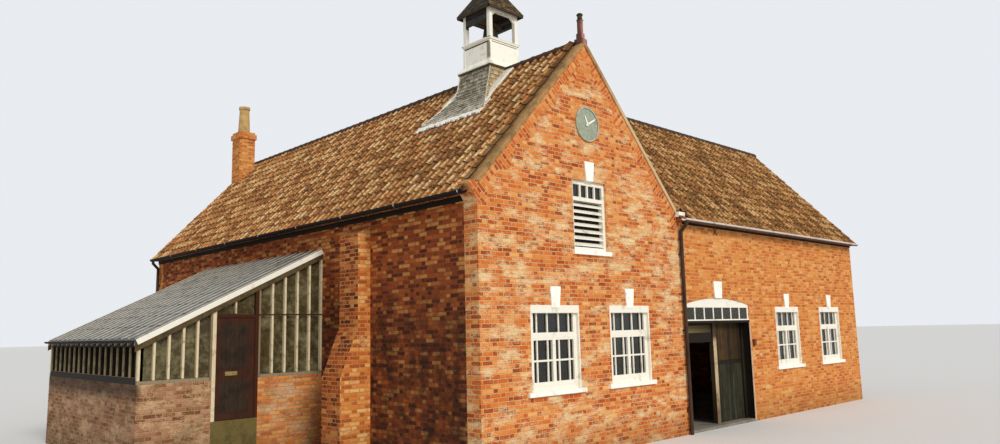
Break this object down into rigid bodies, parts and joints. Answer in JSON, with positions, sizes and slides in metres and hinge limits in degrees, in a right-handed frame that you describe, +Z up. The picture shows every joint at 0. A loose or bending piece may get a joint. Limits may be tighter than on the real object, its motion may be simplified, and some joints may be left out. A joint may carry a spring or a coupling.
{
  "type": "coach house",
  "caption": "Brick coach house of two ranges in an L, with a clock gable, bell turret, wide doorway and lean-to glasshouse.",
  "frame": {"origin": "at ground level, where the line of the main ridge crosses the centre line of the front gable wall", "axes": "+X along the front towards the wing, +Y into the depth away from the front, +Z up"},
  "size_m": [19.072, 14.64, 10.2376],
  "materials": {
    "brick": "matte",
    "garden_brick": "matte",
    "pantile": "matte",
    "ridge_tile": "matte",
    "coping": "matte",
    "terracotta": "matte",
    "buff_clay": "matte",
    "slate": "matte",
    "turret_tile": "matte",
    "white_paint": "satin",
    "aged_paint": "matte",
    "frame_paint": "matte",
    "door_paint": "matte",
    "red_paint": "matte",
    "white_stone": "matte",
    "oak": "matte",
    "boards": "matte",
    "paving": "matte",
    "black_iron": "satin",
    "bronze": "matte",
    "verdigris": "matte",
    "lead": "matte",
    "gutter_paint": "satin",
    "hand_paint": "satin",
    "clear_glass": "gloss",
    "green_glass": "gloss"
  },
  "bodies": {
    "house": {"buttress": "brick", "chimney_pot": "buff_clay", "chimney_stack": "brick", "clock_dial": "verdigris", "coach_door_arch": "brick", "coach_door_frame": "frame_paint", "downpipe": "black_iron", "front_gable_wall": "brick", "gable_coping": "coping", "gable_finial": "terracotta", "glasshouse_bargeboards": "aged_paint", "glasshouse_end_frames": "aged_paint", "glasshouse_end_walls": "garden_brick", "glasshouse_floor": "paving", "glasshouse_rafters": "aged_paint", "glasshouse_roof_glass": "green_glass", "glasshouse_side_frame": "aged_paint", "glasshouse_side_wall": "garden_brick", "glasshouse_wall_glass": "green_glass", "ground_floor": "paving", "gutters": "black_iron", "keystones": "white_stone", "kneeler_stone": "white_stone", "left_side_wall": "brick", "loft_floor": "boards", "louvre_vent": "white_paint", "main_roof_front_corner": "pantile", "main_roof_left": "pantile", "main_roof_right": "pantile", "overlight": "white_paint", "overlight_glass": "clear_glass", "rear_gable_wall": "brick", "ridge_tiles": "ridge_tile", "right_side_wall": "brick", "turret_apron": "lead", "turret_deck": "boards", "turret_posts": "white_paint", "turret_roof": "turret_tile", "turret_skirt": "slate", "turret_stage": "white_paint", "window_frames": "white_paint", "window_glass": "clear_glass", "window_sills": "white_stone", "wing_end_wall": "brick", "wing_front_wall": "brick", "wing_gutter": "gutter_paint", "wing_rear_wall": "brick", "wing_roof_front": "pantile", "wing_roof_rear": "pantile"},
    "left_coach_leaf": {"coach_door_left": "door_paint"},
    "right_coach_leaf": {"coach_door_right": "door_paint"},
    "glasshouse_leaf": {"glasshouse_door": "red_paint"},
    "swinging_bell": {"bell": "bronze", "bell_headstock": "oak"},
    "minute": {"minute_hand": "hand_paint"},
    "hour": {"hour_hand": "hand_paint"}
  },
  "joints": [
    {"name": "coach_door_left_hinge", "type": "hinge", "parent": "house", "child": "left_coach_leaf", "pos_m": [3.197, 0.142, 0], "axis": [0, 0, 1], "range_deg": [-90, 10]},
    {"name": "coach_door_right_hinge", "type": "hinge", "parent": "house", "child": "right_coach_leaf", "pos_m": [5.763, 0.142, 0], "axis": [0, 0, 1], "range_deg": [-100, 0]},
    {"name": "glasshouse_door_hinge", "type": "hinge", "parent": "house", "child": "glasshouse_leaf", "pos_m": [-5.142, 4.8, 0], "axis": [0, 0, 1], "range_deg": [0, 95]},
    {"name": "bell_swing", "type": "hinge", "parent": "house", "child": "swinging_bell", "pos_m": [0, 2.505, 9.11962], "axis": [1, 0, 0], "range_deg": [-30, 30]},
    {"name": "minute_turn", "type": "hinge", "parent": "house", "child": "minute", "pos_m": [0, -0.2, 6.21562], "axis": [0, 1, 0], "continuous": true},
    {"name": "hour_turn", "type": "hinge", "parent": "house", "child": "hour", "pos_m": [0, -0.2, 6.21562], "axis": [0, 1, 0], "continuous": true}
  ],
  "couplings": [
    {"joint": "hour_turn", "follows": "minute_turn", "ratio": 0.083333}
  ]
}
